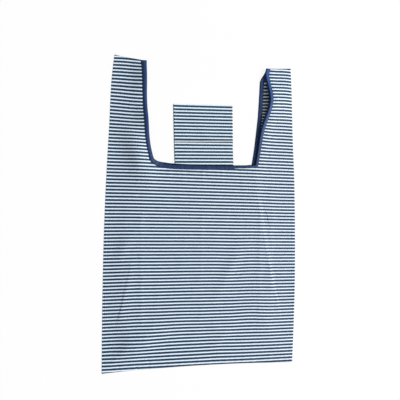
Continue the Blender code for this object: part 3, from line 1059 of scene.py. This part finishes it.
# Stitching: polyester thread, lock-stitched through tape and cloth along the
# tape's sewn edge, and in grey round the pouch. Each stitch dips in at both ends.
# The flap's hem is overlocked in the same grey, which shows as a narrow strip.
SEWN_IN = 0.0012
STITCH_PITCH = 0.0026
STITCH_LENGTH = 0.0020
THREAD = 0.00016
THREAD_RINGS = 5
THREAD_SIDES = 6
THREAD_NAVY = (0.020, 0.042, 0.140, 1.0)
THREAD_GREY = (0.510, 0.535, 0.570, 1.0)
PLY_SCALE = 900.0
PLY_DEPTH = 0.00005

# How high a stitch humps and how deep it is sunk, as shares of THREAD
STITCH_HUMP = 1.5
STITCH_SUNK = 0.6

# On the pouch: the grid column that the side stitches follow, the pocket rows
# under the turn that they leave out, and the strip along the flap's hem
STITCH_COLUMN = 2
POCKET_ROWS_CAUGHT = 5
OVERLOCK_ROWS = 5
OVERLOCK_REACH = 3
OVERLOCK_SHARE = 0.68
OVERLOCK_LOFT = 0.00020


def at_length(values, run, places):
    """Values given at the lengths run, read off in straight lines at other places."""
    return np.column_stack([np.interp(places, run, values[:, k]) for k in range(values.shape[1])])


def unit(vectors):
    """The same directions, each of length 1."""
    return vectors / np.linalg.norm(vectors, axis=1)[:, None]


def stitches(name, path, up, material):
    """A row of stitches along a path.

    Each is a thin spindle whose height follows a half sine from end to end, and its
    thickness the root of that sine.
    """
    run = outline_length(path)
    starts = np.arange(STITCH_PITCH / 2, run[-1] - STITCH_PITCH, STITCH_PITCH)
    t = np.linspace(0, 1, THREAD_RINGS + 2)
    at = (starts[:, None] + STITCH_LENGTH * t[None, :]).ravel()
    normal = unit(at_length(up, run, at))
    forward = unit(at_length(path, run, at + SLOPE_STEP) - at_length(path, run, at - SLOPE_STEP))
    sideways = np.cross(normal, forward)
    hump = np.tile(np.sin(math.pi * t), len(starts))
    raised = (hump * STITCH_HUMP - STITCH_SUNK) * THREAD
    centre = at_length(path, run, at) + normal * raised[:, None]
    angle = 2 * math.pi * np.arange(THREAD_SIDES)[:, None] / THREAD_SIDES
    circle = np.cos(angle) * sideways[:, None, :] + np.sin(angle) * normal[:, None, :]
    rings = centre[:, None, :] + circle * (THREAD * np.sqrt(hump))[:, None, None]
    rings = rings.reshape(len(starts), THREAD_RINGS + 2, THREAD_SIDES, 3)
    ends = rings[:, [0, -1]].mean(axis=2)
    points = np.concatenate([rings[:, 1:-1].reshape(len(starts), -1, 3), ends], axis=1)
    body = np.arange(THREAD_RINGS * THREAD_SIDES).reshape(THREAD_RINGS, THREAD_SIDES)
    after = np.roll(body, -1, axis=1)
    quads = np.stack([body[:-1], after[:-1], after[1:], body[1:]], -1).reshape(-1, 4)
    first = np.stack([after[0], body[0], np.full(THREAD_SIDES, body.size)], -1)
    last = np.stack([body[-1], after[-1], np.full(THREAD_SIDES, body.size + 1)], -1)
    each = (body.size + 2) * np.arange(len(starts))[:, None, None]
    faces = []
    for corners in (quads, first, last):
        faces += (corners[None] + each).reshape(-1, corners.shape[1]).tolist()
    return new_piece(name, points, faces, material)


def thread(name, colour):
    """Twisted thread: the ply shows as a fine slanting wave in the bump."""
    yarn = {"Base Color": colour, "Roughness": 0.55, "Sheen Weight": 0.15}
    material, tree, shader = new_material(name, colour, yarn)
    place = add_node(tree, "ShaderNodeTexCoord", {}).outputs["Object"]
    ply = {"Scale": PLY_SCALE, "Vector": place}
    ply = add_node(tree, "ShaderNodeTexWave", ply, bands_direction="DIAGONAL").outputs["Fac"]
    fill(tree, shader, {"Normal": bumped(tree, ply, PLY_DEPTH, strength=0.4)})
    return material


def sewing_line(side, off, inset):
    """The line on the tape's outside at inset from its sewn edge, and the way up off it."""
    last = len(TAPE_ACROSS) - 1
    depth = profile[last::-1, 0]
    want = TAPE_WIDTH - TAPE_OUTSIDE - inset
    high = np.searchsorted(depth, want)
    share = (want - depth[high - 1]) / (depth[high] - depth[high - 1])
    line = side[:, last + 1 - high] * (1 - share) + side[:, last - high] * share
    up = unit(off[:, last - high])
    return line + up * TAPE / 2, up


navy_thread = thread("navy_thread", THREAD_NAVY)
grey_thread = thread("grey_thread", THREAD_GREY)
front_line = sewing_line(front_side, front_off, SEWN_IN)
front_stitches = stitches("front_binding_stitches", *front_line, navy_thread)
back_line = sewing_line(back_side[:, ::-1], back_off[:, ::-1], SEWN_IN)
back_stitches = stitches("back_binding_stitches", *back_line, navy_thread)
for piece in (front_stitches, back_stitches):
    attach(piece, "root")

flap, pocket = places[-FLAP_ROWS:], places[:POCKET_ROWS]
on_top = np.array([0.0, 0.0, CLOTH / 2])
over = np.linspace(0, 1, OVERLOCK_ROWS)[:, None, None]
hem = flap[-1]
above_hem = hem + (flap[-1 - OVERLOCK_REACH] - hem) * OVERLOCK_SHARE
strip = hem * (1 - over) + above_hem * over + on_top
strip = strip + over * (1 - over) * [0, 0, 4 * OVERLOCK_LOFT]
overlock = surface_mesh("flap_overlock", strip, None, grey_thread)
thicken(overlock, THREAD)
pouch_rows = [overlock]
for name, column in (("left", STITCH_COLUMN), ("right", -1 - STITCH_COLUMN)):
    below = pocket[pocket[:, column, 1] < hem[column, 1], column]
    line = np.vstack([flap[:, column], below[:-POCKET_ROWS_CAUGHT]]) + on_top
    up = np.tile([0.0, 0.0, 1.0], (len(line), 1))
    pouch_rows.append(stitches("pouch_stitches_" + name, line, up, grey_thread))
for piece in pouch_rows:
    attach(piece, "root")


# Floor: the plain pale surface under the bag. The camera sees it nearly white,
# and it keeps the bag's soft shadow.
FLOOR_HALF = 3.0
FLOOR_BELOW = 0.0002
PAPER = (0.9, 0.9, 0.9, 1.0)
PLAIN_WHITE_SHARE = 0.9

matt = {"Base Color": PAPER, "Roughness": 0.9, "Specular IOR Level": 0.0}
paper, tree, shader = new_material("white_paper", PAPER, matt)
seen = add_node(tree, "ShaderNodeLightPath", {}).outputs["Is Camera Ray"]
share = calculated(tree, "MULTIPLY", seen, PLAIN_WHITE_SHARE)
bright = add_node(tree, "ShaderNodeEmission", {"Strength": 1.0})
both = add_node(tree, "ShaderNodeMixShader", {0: share, 1: shader.outputs[0], 2: bright.outputs[0]})
fill(tree, tree.nodes["Material Output"], {"Surface": both.outputs[0]})
corners = np.array([[-1, -1, 0], [1, -1, 0], [-1, 1, 0], [1, 1, 0]], float).reshape(2, 2, 3)
floor = surface_mesh("floor", corners * FLOOR_HALF - [0, 0, FLOOR_BELOW], None, paper)


# Light: a white room that lights the bag evenly, and one large soft lamp high up
# to the right, which draws the folds. The camera sees the room as plain white.
LAMP_PLACE = (3.75, -0.21, 3.68)
LAMP_SIZE = 1.7
LAMP_POWER = 260.0
ROOM = 0.42

room = bpy.data.worlds.new("room")
room.use_nodes = True
tree = room.node_tree
seen = add_node(tree, "ShaderNodeLightPath", {}).outputs["Is Camera Ray"]
strength = add_node(tree, "ShaderNodeMapRange", {"Value": seen, "To Min": ROOM, "To Max": 1.0})
white_room = {"Color": (1.0, 1.0, 1.0, 1.0), "Strength": strength.outputs[0]}
fill(tree, tree.nodes["Background"], white_room)
bpy.context.scene.world = room

lamp_data = bpy.data.lights.new("soft_lamp", "AREA")
lamp_data.shape = "DISK"
lamp_data.size = LAMP_SIZE
lamp_data.energy = LAMP_POWER
lamp = bpy.data.objects.new("soft_lamp", lamp_data)
bpy.context.scene.collection.objects.link(lamp)
lamp.location = LAMP_PLACE
lamp.rotation_mode = "QUATERNION"
lamp.rotation_quaternion = (-Vector(LAMP_PLACE)).to_track_quat("-Z", "Y")


# Camera: above the bag and a little to its left, turned as the photograph is.
# Its three directions are given in the bag's own X, Y and Z.
CAMERA_PLACE = (-0.21355, 0.01516, 0.90952)
CAMERA_RIGHT = (0.97498, 0.01941, 0.22143)
CAMERA_UP = (-0.02151, 0.99974, 0.00709)
CAMERA_BACK = (-0.22124, -0.01168, 0.97515)
CAMERA_LENS = 46.35
CAMERA_SENSOR = 36.0

view = bpy.data.cameras.new("view")
view.lens = CAMERA_LENS
view.sensor_width = CAMERA_SENSOR
view.clip_start, view.clip_end = 0.01, 20.0
camera = bpy.data.objects.new("view", view)
bpy.context.scene.collection.objects.link(camera)
turned = Matrix((CAMERA_RIGHT, CAMERA_UP, CAMERA_BACK)).transposed()
camera.matrix_world = Matrix.Translation(CAMERA_PLACE) @ turned.to_4x4()
bpy.context.scene.camera = camera
bpy.context.scene.view_settings.view_transform = "Standard"
